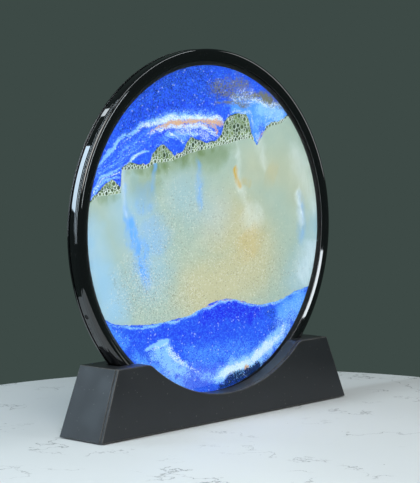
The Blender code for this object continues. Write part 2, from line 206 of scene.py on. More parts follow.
class Nodes:
    """A small helper that adds and links shader nodes."""

    def __init__(self, name):
        self.material = bpy.data.materials.new(name)
        self.material.use_nodes = True
        self.tree = self.material.node_tree
        self.shader = self.tree.nodes["Principled BSDF"]
        place = self.new("TexCoord")
        scaled = self.new("VectorMath")
        scaled.operation = "SCALE"
        scaled.inputs["Scale"].default_value = 1 / MM
        self.put(place.outputs["Object"], scaled.inputs[0])
        self.place = scaled.outputs[0]

    def new(self, kind):
        return self.tree.nodes.new("ShaderNode" + kind)

    def put(self, value, socket):
        if isinstance(value, bpy.types.NodeSocket):
            self.tree.links.new(value, socket)
        elif isinstance(value, tuple) and socket.type == "RGBA":
            socket.default_value = (*value, 1)
        else:
            socket.default_value = value

    def set(self, **values):
        for name, value in values.items():
            self.put(value, self.shader.inputs[name.replace("_", " ")])

    def math(self, operation, a, b=0.5, clamp=False):
        node = self.new("Math")
        node.operation = operation
        node.use_clamp = clamp
        self.put(a, node.inputs[0])
        self.put(b, node.inputs[1])
        return node.outputs[0]

    def range(self, value, low, high, to_low=0, to_high=1):
        """Eases from to_low, where a value is low, to to_high, where it is high."""
        node = self.new("MapRange")
        node.interpolation_type = "SMOOTHSTEP"
        self.put(value, node.inputs["Value"])
        for name, number in (("From Min", low), ("From Max", high), ("To Min", to_low), ("To Max", to_high)):
            self.put(number, node.inputs[name])
        return node.outputs[0]

    def mix(self, share, a, b):
        """Colour a where share is 0, and colour b where it is 1."""
        node = self.new("Mix")
        node.data_type = "RGBA"
        self.put(share, node.inputs["Factor"])
        colours = [s for s in node.inputs if s.type == "RGBA"]
        self.put(a, colours[0])
        self.put(b, colours[1])
        return [s for s in node.outputs if s.type == "RGBA"][0]

    def stretched(self, x, y, z):
        """Places scaled along each axis, so that noise on them is drawn out."""
        node = self.new("VectorMath")
        node.operation = "MULTIPLY"
        self.put(self.place, node.inputs[0])
        node.inputs[1].default_value = (x, y, z)
        return node.outputs[0]

    def noise(self, size, detail=3, roughness=0.55, place=None):
        """Fractal noise from 0 to 1 with features of a size in millimetres."""
        node = self.new("TexNoise")
        self.put(place or self.place, node.inputs["Vector"])
        node.inputs["Scale"].default_value = 1 / size
        node.inputs["Detail"].default_value = detail
        node.inputs["Roughness"].default_value = roughness
        return node.outputs["Fac"]

    def grains(self, size):
        """Random numbers per grain and the distance to each grain's middle."""
        node = self.new("TexVoronoi")
        self.put(self.place, node.inputs["Vector"])
        node.inputs["Scale"].default_value = 1 / size
        split = self.new("SeparateColor")
        self.put(node.outputs["Color"], split.inputs[0])
        return *split.outputs, node.outputs["Distance"]

    def rare(self, number, limit, strength, compare="GREATER_THAN"):
        """A strength at the few grains whose number is past a limit, and 0 at the others."""
        return self.math("MULTIPLY", self.math(compare, number, limit), strength)

    def stirred(self, share, noise, swing):
        """A share that noise swings up and down."""
        return self.math("ADD", share, self.math("MULTIPLY", self.math("SUBTRACT", noise, 0.5), swing))

    def field(self, name):
        node = self.new("Attribute")
        node.attribute_name = name
        return node.outputs["Fac"]

    def bump(self, height, depth, strength):
        """Raises the surface by a depth in millimetres where height is 1."""
        node = self.new("Bump")
        self.put(height, node.inputs["Height"])
        node.inputs["Distance"].default_value = depth * MM
        node.inputs["Strength"].default_value = strength
        self.put(node.outputs[0], self.shader.inputs["Normal"])


def gloss_black(name):
    """Polished black plastic with a faint haze of smudges and dust."""
    m = Nodes(name)
    smudge = m.noise(14, 4)
    dust = m.rare(m.grains(0.9)[0], 0.992, 0.3)
    m.set(Base_Color=m.mix(dust, (0.003, 0.0032, 0.004), (0.05, 0.05, 0.05)))
    m.set(Roughness=m.range(smudge, 0.3, 0.8, 0.02, 0.06), IOR=1.75)
    return m.material


def satin_plastic(name, tone=(0.0165, 0.018, 0.0205), roughness=(0.3, 0.46), scuffs=0.25):
    """Moulded black plastic: a fine grain, cloudy sheen and a few pale scuffs and dust specks."""
    m = Nodes(name)
    cloud = m.noise(26, 5, 0.6)
    drag = m.noise(9, 5, 0.7, m.stretched(0.25, 1, 1.6))
    dust = m.rare(m.grains(0.8)[1], 0.996, 0.3)
    grain = m.noise(0.45, 3)
    scuffed, cloudy = (tuple(c * gain for c in tone) for gain in (2.3, 1.5))
    colour = m.mix(m.range(drag, 0.55, 0.85, 0, scuffs), tone, scuffed)
    colour = m.mix(m.range(cloud, 0.35, 0.75, 0, 0.35), colour, cloudy)
    colour = m.mix(dust, colour, (0.2, 0.19, 0.17))
    m.set(Base_Color=colour, IOR=1.48, Roughness=m.range(cloud, 0.25, 0.8, *roughness))
    m.bump(grain, 0.035, 0.35)
    return m.material


def edge_wear_and_highlight(name):
    """The stand's rounded edges, painted paler all along as a highlight, and rubbed paler and browner in
    patches.
    """
    m = Nodes(name)
    patch = m.noise(5, 6, 0.75)
    fine = m.noise(0.8, 3)
    # Painted highlight: the edges are paler than the faces everywhere, and paler and browner still in worn
    # patches.
    wear_and_lit_share = m.range(patch, 0.35, 0.62, 0.15, 0.9)
    m.set(Base_Color=m.mix(wear_and_lit_share, (0.024, 0.025, 0.027), (0.085, 0.08, 0.074)))
    m.set(Roughness=m.range(fine, 0.2, 0.8, 0.3, 0.55), IOR=1.48)
    m.bump(fine, 0.03, 0.4)
    return m.material


def clear_glass(name):
    """Float glass with faint smears. Lamps shine through it unshaded."""
    m = Nodes(name)
    smear = m.noise(30, 4)
    m.set(Base_Color=(0.985, 0.995, 0.99), IOR=1.46, Transmission_Weight=1)
    m.set(Roughness=m.range(smear, 0.45, 0.8, 0, 0.02))
    mixed = m.new("MixShader")
    m.put(m.new("LightPath").outputs["Is Shadow Ray"], mixed.inputs[0])
    m.put(m.shader.outputs[0], mixed.inputs[1])
    m.put(m.new("BsdfTransparent").outputs[0], mixed.inputs[2])
    m.put(mixed.outputs[0], m.tree.nodes["Material Output"].inputs["Surface"])
    return m.material


def soft_rubber(name, tone):
    """Matt rubber or silicone, a little mottled."""
    m = Nodes(name)
    mottled = m.noise(2.5, 4)
    m.set(Base_Color=m.mix(mottled, tone, tuple(c * 1.6 for c in tone)))
    m.set(Roughness=m.range(mottled, 0.3, 0.7, 0.6, 0.8))
    m.bump(m.noise(0.35, 3), 0.03, 0.5)
    return m.material


def plated_steel(name):
    """Zinc-plated steel with fine marks."""
    m = Nodes(name)
    marks = m.noise(0.5, 4, 0.6)
    m.set(Base_Color=m.mix(marks, (0.42, 0.42, 0.43), (0.62, 0.61, 0.58)), Metallic=1)
    m.set(Roughness=m.range(marks, 0.2, 0.8, 0.25, 0.42))
    m.bump(marks, 0.01, 0.3)
    return m.material


GRAIN, LUMP = 0.42, 0.85
DEEP_BLUE, ROYAL_BLUE, SKY_BLUE = (0.01, 0.022, 0.76), (0.016, 0.09, 0.8), (0.085, 0.32, 0.96)
ICE_BLUE, WHITE_SAND = (0.25, 0.54, 0.98), (0.68, 0.84, 1)
GOLD_SAND, BROWN_SAND, NIGHT_SAND = (0.66, 0.41, 0.25), (0.17, 0.18, 0.14), (0.003, 0.022, 0.1)


def sand(name):
    """Coloured grains. The mesh's fields hold each colour's share of a place, and each grain picks one."""
    m = Nodes(name)
    pick, pick2, pick3, middle = m.grains(GRAIN)
    cloud = m.noise(7, 5, 0.65)
    streak = m.noise(3.2, 4, 0.6)

    def grain_of(share, number, soft):
        """1 where a grain belongs to a colour whose share is given."""
        over = m.math("SUBTRACT", m.math("MULTIPLY", share, 1 + 2 * soft), number)
        return m.range(over, 0, 2 * soft)

    depth = m.stirred(m.field("deep"), cloud, 0.5)
    colour = m.mix(m.range(depth, 0, 1), ROYAL_BLUE, DEEP_BLUE)
    coarse, coarse2, glint, _ = m.grains(LUMP)
    colour = m.mix(m.range(coarse, 0.4, 1, 0, 0.42), colour, SKY_BLUE)
    colour = m.mix(m.range(coarse2, 0, 0.35, 0.4, 0), colour, DEEP_BLUE)
    light = m.stirred(m.field("sky"), streak, 0.55)
    colour = m.mix(grain_of(light, m.math("MULTIPLY", pick, 0.9), 0.22), colour, SKY_BLUE)
    grain_kinds = (("ice", pick2, 0.2, ICE_BLUE), ("white", pick3, 0.2, WHITE_SAND),
                   ("gold", pick, 0.12, GOLD_SAND), ("brown", pick2, 0.12, BROWN_SAND),
                   ("dark", pick3, 0.08, NIGHT_SAND))
    for field, number, soft, tone in grain_kinds:
        colour = m.mix(grain_of(m.field(field), number, soft), colour, tone)
    colour = m.mix(m.rare(glint, 0.984, 0.4), colour, (0.7, 0.82, 0.88))
    m.set(Base_Color=colour, Roughness=m.range(pick2, 0, 1, 0.55, 0.95))
    m.set(IOR=1.4, Specular_IOR_Level=0.15)
    m.bump(m.math("SUBTRACT", 1, middle), 0.12, 0.35)
    return m.material


def clouded_liquid(name):
    """Water clouded by fine sand: painted drifts of colour, softened and mottled by noise."""
    m = Nodes(name)
    mottle = m.noise(16, 5, 0.6)
    wisp = m.noise(4, 5, 0.65, m.stretched(1.6, 1, 0.45))
    fine = m.noise(0.9, 3, 0.7)
    colour = m.mix(m.range(m.field("warm"), 0, 1), (0.37, 0.485, 0.42), (0.52, 0.505, 0.32))
    colour = m.mix(m.field("cool"), colour, (0.29, 0.545, 0.8))
    colour = m.mix(m.range(mottle, 0.4, 0.75, 0, 0.16), colour, (0.66, 0.69, 0.54))
    colour = m.mix(m.field("shade"), colour, (0.15, 0.24, 0.09))
    hazes = {"blue": (0.14, 0.4, 0.88), "white": (0.76, 0.86, 0.9), "gold": (0.6, 0.37, 0.02)}
    for field, tint in hazes.items():
        ragged = m.math("MULTIPLY", m.field(field), m.range(wisp, 0.25, 0.6, 0.5, 1.1), clamp=True)
        colour = m.mix(ragged, colour, tint)
    number, number2, _, _ = m.grains(0.6)
    dusty = m.math("MULTIPLY", m.field("dust"), 0.17)
    colour = m.mix(m.rare(number, dusty, 0.5, "LESS_THAN"), colour, (0.2, 0.19, 0.14))
    colour = m.mix(m.rare(number2, dusty, 0.5, "LESS_THAN"), colour, (0.8, 0.82, 0.72))
    colour = m.mix(m.range(fine, 0.5, 0.8, 0, 0.1), colour, (0.75, 0.76, 0.66))
    m.set(Base_Color=colour, Roughness=m.range(fine, 0.2, 0.8, 0.35, 0.5), IOR=1.33)
    m.bump(fine, 0.01, 0.05)
    return m.material


def foam_film(name):
    """The wet rims of bubbles, brightest where the mesh's field says so."""
    m = Nodes(name)
    patch = m.noise(3, 3)
    pale = m.math("ADD", m.field("bright"), m.range(patch, 0.35, 0.65, -0.15, 0.25), clamp=True)
    m.set(Base_Color=m.mix(pale, (0.23, 0.365, 0.19), (0.8, 0.91, 0.86)))
    m.set(Roughness=m.range(patch, 0.3, 0.7, 0.08, 0.25), IOR=1.36)
    m.bump(patch, 0.05, 0.2)
    return m.material


def foam_heart(name):
    """A bubble's dark middle, where what is behind the disc shows through green."""
    m = Nodes(name)
    patch = m.noise(4.5, 3)
    colour = m.mix(m.range(patch, 0.38, 0.62), (0.045, 0.085, 0.05), (0.24, 0.34, 0.14))
    m.set(Base_Color=colour, Roughness=m.range(patch, 0.3, 0.7, 0.06, 0.2), IOR=1.36)
    m.bump(patch, 0.05, 0.2)
    return m.material


def pale_floor(name):
    """Polished white stone with a few thin grey veins."""
    m = Nodes(name)
    patch = m.noise(220, 4)
    off_vein = m.math("ABSOLUTE", m.math("SUBTRACT", m.noise(75, 6, 0.6), 0.5))
    broken = m.range(m.noise(60, 2), 0.48, 0.6)
    vein = m.math("MULTIPLY", m.range(off_vein, 0, 0.008, 0.75, 0), broken)
    stone = m.mix(patch, (0.74, 0.76, 0.77), (0.82, 0.83, 0.83))
    m.set(Base_Color=m.mix(vein, stone, (0.2, 0.2, 0.21)))
    m.set(Roughness=m.range(patch, 0.2, 0.8, 0.42, 0.55))
    m.bump(m.noise(3, 3), 0.02, 0.15)
    return m.material


# ---- the ring, its glass and its plug ----


def ring_piece(name, profile, material, replaced, closed=True, steps=ROUND_STEPS):
    obj = new_object(name, lathe(name, profile, closed, steps), "picture", replaced)
    obj.data.materials.append(material)
    finish_edges(obj)


def finish_edges(obj, sharp_degrees=50):
    """Smooth shading that keeps broad faces flat."""
    smooth_shade(obj.data, sharp_degrees)
    step = obj.modifiers.new("normals", "WEIGHTED_NORMAL")
    step.keep_sharp = True
    applied(obj)


def bezel(name, side, material):
    """A bezel: a lip sloping down to the glass, a face with a soft crown, and a rounded skirt."""
    points = [
        (OPENING_RADIUS, FACE_IN),
        (SKIRT_INNER, FACE_IN),
        (SKIRT_INNER, BAND_HALF + 0.3),
        (RING_RADIUS, BAND_HALF + 0.3),
        (RING_RADIUS, HALF_RING),
        (OPENING_RADIUS + 2.6, HALF_RING - 0.1),
        (OPENING_RADIUS, FACE_IN + 0.3),
    ]
    radii = (0.1, 0, 0.2, 0.25, (2.5, 4.6), 0.8, 0.15)
    profile = [(r, side * y) for r, y in rounded(points, radii, 12)]
    ring_piece(name + "_fine", profile, material, [name])


def rim_band(material):
    """The rim's T-shaped middle ring, with rounded grooves beside the bezels and the hole for the plug."""
    web, flange, groove = SKIRT_INNER - 0.1, BAND_HALF, 0.35
    half = [(BAND_INNER, SEAL_OUT), (web, SEAL_OUT), (web, flange), (BAND_CROWN - 0.3, flange),
            (BAND_CROWN, flange - 0.8)]
    points = half + [(r, -y) for r, y in reversed(half)]
    radii = (0, 0, 0, groove, 0.5, 0.5, groove, 0, 0, 0)
    mesh = lathe("rim_band_fine", rounded(points, radii, 4))
    band = new_object("rim_band_fine", mesh, "picture", ["rim_band"])
    band.data.materials.append(material)
    radial = Vector((math.cos(PLUG_ANGLE), 0, math.sin(PLUG_ANGLE)))
    turn = radial.to_track_quat("Z", "Y").to_matrix().to_4x4()
    place = Matrix.Translation((0, 0, DISC_HEIGHT)) @ turn

    def along_plug(x, y, z):
        return tuple(place @ Vector((x * MM, z * MM, y * MM)) / MM)

    head, shank, outside, seat, inside = 1.7, 1.3, 128, 123.4, 116
    bore = [(0, outside), (head, outside), (head, seat), (shank, seat), (shank, inside), (0, inside)]
    cut(band, lathe("plug_hole", bore, False, 32, along_plug))
    finish_edges(band)


def pane(name, side, material):
    """A round pane with a small bevel on both edges."""
    inner = PANE_RADIUS - 0.3
    half = [(0, PANE_IN), (inner, PANE_IN), (PANE_RADIUS, PANE_IN + 0.3)]
    half += [(PANE_RADIUS, PANE_OUT - 0.3), (inner, PANE_OUT), (0, PANE_OUT)]
    profile = [(r, side * y) for r, y in half]
    ring_piece(name + "_fine", profile, material, [name], False, DISC_STEPS)


# ---- what lies between the panes ----

STROKE_WARP = 1.3
WIDE_STROKE, NARROW_STROKE = 14, 8
THINNEST_SLAB = 0.35
FLOATING = {"dark": ("dark_sand", (0.05, 0.05, 0.04)), "pale": ("white_sand", (0.62, 0.62, 0.52)),
            "blue": ("blue_sand", (0.22, 0.42, 0.95)), "gold": ("gold_sand", (0.66, 0.4, 0.14))}
DUNE_TOP = [
    (-114, -50), (-100, -54), (-90, -58), (-73, -60), (-55, -61), (-37, -60), (-24, -58.5), (-11, -55),
    (0, -52), (12, -50), (24, -51), (34, -54), (46, -57), (62, -57), (75, -55), (88, -51), (101, -49),
    (114, -46),
]
AIR_BOTTOM = [
    (-114, 22), (-105, 27.5), (-97, 28), (-83.5, 28.5), (-82.5, 44), (-60, 44.5), (-56, 46), (-52, 47.5),
    (-34, 49), (-19, 53.5), (0, 56), (16, 58.5), (30, 61), (43, 62), (47, 60), (49.5, 56.5), (52, 60),
    (56, 65), (62, 69.5), (76, 72), (82, 77), (114, 88),
]
AIR_TOP = [
    (-114, 22.2), (-106, 29.5), (-99, 34.5), (-92, 38), (-87, 36), (-83.7, 32.5), (-82.3, 46.5),
    (-75, 49), (-66, 47.5), (-57, 47.5), (-54, 53), (-50, 58.5), (-44, 60.5), (-38, 57), (-33, 52.5),
    (-26, 54.5), (-21, 61), (-17, 65), (-10, 63), (-2, 60.5), (6, 61.5), (13, 65), (16, 74), (22, 78.5),
    (30, 80), (39, 79.5), (42, 74), (44, 66), (46.5, 62), (49.5, 57), (52, 60.5), (56, 65.5), (60, 71),
    (66, 73.5), (74, 74.5), (80, 77), (84, 79.5), (114, 89),
]
PALE_ARC = [
    (-112, 36), (-104, 46), (-93, 58), (-75, 68), (-61, 74), (-50, 77), (-37, 79), (-23, 80), (-8, 79),
    (8, 76), (16, 73),
]


def lattice_noise(x, z, size, seed):
    """Smooth noise from -1 to 1, with features of a size in millimetres."""
    def value(i, k):
        mixed = (i * 374761393 + k * 668265263 + seed * 974634777) & 0xFFFFFFFF
        mixed = ((mixed ^ (mixed >> 13)) * 1274126177) & 0xFFFFFFFF
        return ((mixed ^ (mixed >> 16)) & 0xFFFF) / 32767.5 - 1

    u, v = x / size, z / size
    i, k = np.floor(u).astype(np.int64), np.floor(v).astype(np.int64)
    a, b = u - i, v - k
    a, b = a * a * (3 - 2 * a), b * b * (3 - 2 * b)
    low = value(i, k) * (1 - a) + value(i + 1, k) * a
    high = value(i, k + 1) * (1 - a) + value(i + 1, k + 1) * a
    return low * (1 - b) + high * b


def rough(x, z, size, seed, octaves=3):
    """Fractal noise, mostly between -1 and 1."""
    return sum(lattice_noise(x, z, size / 2 ** n, seed + n) / 2 ** n for n in range(octaves))


def eased(points, per_span=4):
    """A Catmull-Rom curve through points."""
    ends = [points[0], *points, points[-1]]
    made = []
    for a, b, c, d in zip(ends, ends[1:], ends[2:], ends[3:]):
        for t in np.arange(per_span) / per_span:
            made.append(tuple(0.5 * (2 * q + (r - p) * t + (2 * p - 5 * q + 4 * r - s) * t ** 2
                                     + (3 * q - p - 3 * r + s) * t ** 3) for p, q, r, s in zip(a, b, c, d)))
    return made + [points[-1]]


def stroke(x, z, points, half_width, soft, ragged, taper, seed):
    """A brush stroke from 0 to 1: full along a line, falling off over the soft share of its width."""
    line = eased(points) if len(points) > 2 else points
    best, where = np.full(x.shape, 1e6), np.zeros(x.shape)
    steps = len(line) - 1
    for i, ((ax, az), (bx, bz)) in enumerate(zip(line, line[1:])):
        dx, dz = bx - ax, bz - az
        t = np.clip(((x - ax) * dx + (z - az) * dz) / (dx * dx + dz * dz + 1e-9), 0, 1)
        distance = np.hypot(x - ax - t * dx, z - az - t * dz)
        nearer = distance < best
        best = np.where(nearer, distance, best)
        where = np.where(nearer, (i + t) / steps, where)
    width = half_width * (1 - taper + taper * np.sin(np.pi * np.clip(where, 0.02, 0.98)) ** 0.6)
    best = best + ragged * rough(x, z, 5, seed)
    inner, outer = width * (1 - soft), width * (1 + soft)
    t = np.clip((outer - best) / np.maximum(outer - inner, 1e-6), 0, 1)
    ends = np.clip(np.minimum(where, 1 - where) * 6, 0, 1)
    return t * t * (3 - 2 * t) * (1 - taper + taper * ends)


def line_of(points):
    """A height for every x from points in order of x."""
    xs, zs = zip(*points)
    return lambda x: np.interp(x, xs, zs)


dune_top, pale_arc = line_of(eased(DUNE_TOP)), line_of(eased(PALE_ARC))
air_bottom, air_top = line_of(AIR_BOTTOM), line_of(AIR_TOP)
flow_bottom = line_of([(-114, 24), (-84, 37), (-55, 52), (-20, 62), (10, 66)])


def half_chord(x):
    """How far up the round chamber reaches from its middle."""
    return np.sqrt(np.maximum(CHAMBER_RADIUS ** 2 - x * x, 0))


def crest(x):
    """The top of the settled sand."""
    return np.minimum(dune_top(x) + 0.35 * rough(x, x * 0, 3, 5), half_chord(x))


def foam_floor(x):
    """The top of the liquid, where the foam starts."""
    return np.clip(air_bottom(x) + 0.35 * rough(x, x * 0, 4, 8), -half_chord(x), half_chord(x))


def foam_roof(x):
    """The underside of the sand above the foam."""
    roof = air_top(x) + 0.7 * rough(x, x * 0, 3, 11)
    return np.clip(np.maximum(roof, foam_floor(x)), -half_chord(x), half_chord(x))


def paint(x, z, strokes, soft, taper, broken):
    """Lays strokes into named fields, on ground warped a little so that no edge runs true.

    A stroke is a field's name, its strength, its points, half its width, how ragged it is and, where that
    differs from the others, how soft. Wide strokes don't taper, and narrow ones break up in patches.
    """
    wx = x + STROKE_WARP * rough(x, z, 9, 21)
    wz = z + STROKE_WARP * rough(x, z, 9, 31)
    fields = {}
    for n, (name, strength, points, half_width, ragged, *own_soft) in enumerate(strokes):
        softness = own_soft[0] if own_soft else soft
        thinning = taper if half_width < WIDE_STROKE else 0
        made = strength * stroke(wx, wz, points, half_width, softness, ragged, thinning, 40 + n)
        if half_width < NARROW_STROKE:
            made = made * (1 - broken * np.clip(0.4 + 1.4 * rough(x * 2.2, z, 9, 90 + n), 0, 1))
        fields[name] = np.maximum(fields.get(name, 0), made)
    return fields


def set_field(mesh, name, values):
    attribute = mesh.attributes.get(name) or mesh.attributes.new(name, "FLOAT", "POINT")
    attribute.data.foreach_set("value", np.asarray(values, np.float32))


UPPER_STROKES = [
    ("ice", 0.8, PALE_ARC, 1.7, 0.3, 0.9),
    ("ice", 0.4, [(x * 0.985, z - 3.5) for x, z in PALE_ARC if x > -70], 4, 1.5, 0.9),
    ("ice", 0.55, [(22, 92), (33, 93), (43, 92), (53, 89), (66, 86), (77, 84)], 4, 1.5),
    ("ice", 0.8, [(46, 80), (59, 81), (71, 80), (80, 77)], 5.5, 2),
    ("ice", 0.45, [(45, 73), (54, 71), (62, 73)], 4.5, 2),
    ("ice", 0.6, [(-44, 66), (-33, 67), (-22, 66), (-8, 67)], 3.2, 2),
    ("ice", 0.85, [(-82, 47), (-76, 49), (-70, 52), (-61, 54.5), (-54, 54)], 1.1, 0.2),
    ("ice", 0.8, [(-113, 26), (-107, 34), (-102, 39), (-95, 42), (-86, 45), (-82, 46)], 1, 0.2),
    ("ice", 0.75, [(-112, 23), (-109, 27), (-104, 33), (-96, 38), (-88, 40), (-82, 40)], 1.2, 0.2),
    ("ice", 0.4, [(-111, 34), (-107, 40), (-98, 45), (-86, 49), (-76, 54), (-64, 59), (-57, 63)], 1.3, 0.4),
    ("ice", 0.4, [(-104, 43), (-94, 49), (-82, 56), (-70, 62), (-60, 68), (-53, 71)], 1.1, 0.4),
    ("ice", 0.55, [(-52, 57), (-46, 61), (-38, 64), (-28, 63), (-22, 58)], 1, 0.6),
    ("ice", 0.5, [(-64, 74), (-46, 78), (-31, 80), (-15, 81), (0, 80), (14, 77)], 3.2, 0.4, 0.95),
    ("white", 0.72, [(-72, 68), (-60, 72.5), (-46, 75.5), (-31, 77.5), (-15, 78.5), (0, 77.5), (13, 75),
     (20, 71)], 2.3, 0.3, 0.95),
    ("white", 0.72, [(-62, 65), (-52, 69.5), (-37, 71.6), (-23, 73), (-9, 72.6), (0, 70), (8, 65),
     (13, 63)], 2, 0.6, 0.95),
    ("white", 0.45, [(-33, 69), (-25, 69.5), (-17, 69), (-9, 67), (-2, 65), (6, 61.5)], 3, 1.5),
    ("white", 0.55, [(-38, 67), (-30, 65), (-24, 60)], 1, 0.8),
    ("white", 0.5, [(-112, 24.5), (-107, 32), (-100, 38), (-92, 41.5), (-83, 43.5)], 0.7, 0.2),
    ("white", 0.45, [(-82, 46.5), (-70, 51.5), (-60, 54)], 0.8, 0.3, 0.9),
    ("white", 0.48, [(22, 90), (32, 92), (44, 91), (54, 87)], 5, 1.5, 0.95),
    ("white", 0.62, [(44, 90), (54, 87.5), (66, 86), (80, 83.5)], 2.4, 1.2, 0.95),
    ("white", 0.42, [(18, 66), (19.5, 76), (23, 80), (33, 81.5), (43, 80.5), (44.5, 74),
     (45.5, 66)], 1.5, 0.8, 0.9),
    ("white", 0.5, [(46, 60), (48.5, 66), (51, 60), (52, 66), (58, 67), (61, 72), (70, 74),
     (80, 76)], 0.8, 0.4),
    ("gold", 0.92, [(-56, 69), (-48, 71.5), (-37, 74), (-28, 75.4), (-15, 76.2), (-3, 76), (8, 74),
     (16, 71.5), (19, 66)], 1.7, 0.6),
    ("gold", 0.45, [(-44, 70), (-30, 72.3), (-15, 73), (-2, 72.5), (6, 70)], 0.7, 0.3),
    ("gold", 0.7, [(-1, 74.5), (5, 71.5), (7.5, 68), (8.5, 64)], 1.5, 0.8),
    ("gold", 0.55, [(50, 58.5), (56, 66), (60, 67)], 0.8, 0.3),
    ("brown", 0.68, [(0, 98), (18, 97), (33, 101), (44, 98)], 6, 3),
    ("brown", 0.92, [(42, 92), (52, 91.5), (60, 90.3), (70, 87.5)], 3.6, 1.2),
    ("brown", 0.62, [(18, 92), (34, 93), (50, 91)], 4.5, 1.5, 0.9),
    ("brown", 0.7, [(6, 88), (25, 87), (44, 85)], 1.7, 0.8),
    ("brown", 0.6, [(76, 85.5), (82, 81), (87, 76)], 1.2, 0.4),
    ("dark", 0.34, [(-80, 76), (-60, 91), (-45, 100), (-30, 104), (-10, 107), (20, 106)], 9, 5),
    ("dark", 0.26, [(-84, 66), (-70, 78), (-40, 92), (0, 95), (30, 99)], 11, 5, 0.9),
    ("deep", 0.85, [(-57, 55), (-55, 60), (-50, 66), (-40, 68.6), (-29, 70)], 1, 0.3, 0.6),
    ("deep", 0.6, [(-104, 36), (-92, 43.5), (-80, 47.5), (-66, 55)], 0.9, 0.3, 0.6),
    ("deep", 0.6, [(-110, 29), (-102, 36), (-92, 40), (-83, 41.8)], 0.7, 0.2, 0.6),
    ("deep", 0.35, [(-80, 70), (-60, 82), (-40, 86), (-10, 87), (10, 84)], 6, 3),
    ("sky", 0.8, [(20, 86), (50, 80), (88, 74)], 10, 3, 0.7),
    ("sky", 0.85, [(49, 76), (49, 68), (50, 58)], 4, 1, 0.7),
    ("sky", 0.25, [(-112, 28), (-95, 45), (-80, 55), (-60, 66), (-30, 66)], 5, 1, 0.9),
    ("ice", 0.2, [(-96, 48), (-76, 58), (-55, 66), (-30, 69), (-4, 67)], 7, 2, 0.95),
    ("brown", 0.42, [(60, 88), (70, 86), (79, 82)], 4, 1.5, 0.9),
    ("white", 0.26, [(56, 78), (68, 78), (80, 80)], 6, 2, 0.9),
]
LOWER_STROKES = [
    ("ice", 0.75, [(x, z - 0.8) for x, z in DUNE_TOP], 1.2, 0.4, 0.9),
    ("ice", 0.45, [(64, -75), (78, -71), (89, -62), (100, -52)], 8, 4, 0.9),
    ("ice", 0.95, [(-66, -78), (-57, -75.5), (-48, -75), (-42, -74)], 2.6, 0.8, 0.6),
    ("ice", 0.8, [(-62, -82), (-52, -82), (-46, -86), (-36, -92), (-20, -99)], 7.5, 3, 0.5),
    ("ice", 0.4, [(-64, -88), (-54, -96), (-38, -103), (-20, -106)], 4, 3),
    ("ice", 0.95, [(-16, -101), (2, -105), (18, -102), (32, -98.5), (45, -94), (58, -88), (71, -81),
     (84, -71)], 7.5, 3),
    ("white", 0.4, [(-62, -79), (-52, -76.8), (-43, -75.5)], 1.2, 0.8),
    ("white", 0.5, [(-41, -76), (-40, -84), (-34, -88), (-24, -94), (-12, -100)], 1.8, 1.5),
    ("white", 0.8, [(-2, -105), (14, -103), (28, -99.5), (42, -95), (56, -89), (69, -82.5),
     (78, -76)], 3, 2),
    ("gold", 0.6, [(x, z - 0.1) for x, z in DUNE_TOP if -45 < x < 60], 0.5, 0.2),
    ("gold", 0.9, [(32, -101), (37.5, -100.2)], 2.5, 1, 0.6),
    ("dark", 0.95, [(2, -115), (14, -109.5), (28, -107.5), (43, -104), (58, -99)], 4.4, 2.5, 0.5),
    ("dark", 0.2, [(50, -59), (62, -66), (66, -74), (56, -77)], 3.5, 3),
    ("deep", 1, [(-18, -63), (2, -59), (19, -57), (36, -61), (52, -64)], 8.5, 3),
    ("deep", 0.5, [(-82, -66), (-60, -68), (-35, -69), (-5, -74), (25, -74)], 6, 3),
    ("sky", 0.7, [(-76, -76), (-66, -88), (-48, -100), (-18, -109)], 6, 3),
    ("sky", 0.55, [(-102, -58), (-88, -66), (-80, -74)], 5, 2),
    ("sky", 0.8, [(66, -68), (84, -60), (102, -52)], 9, 3),
    ("sky", 0.42, [(-30, -80), (-10, -89), (20, -89), (45, -84)], 8, 4, 0.9),
    ("ice", 0.17, [(-34, -82), (-8, -87), (20, -88), (45, -82)], 9, 3, 0.95),
]
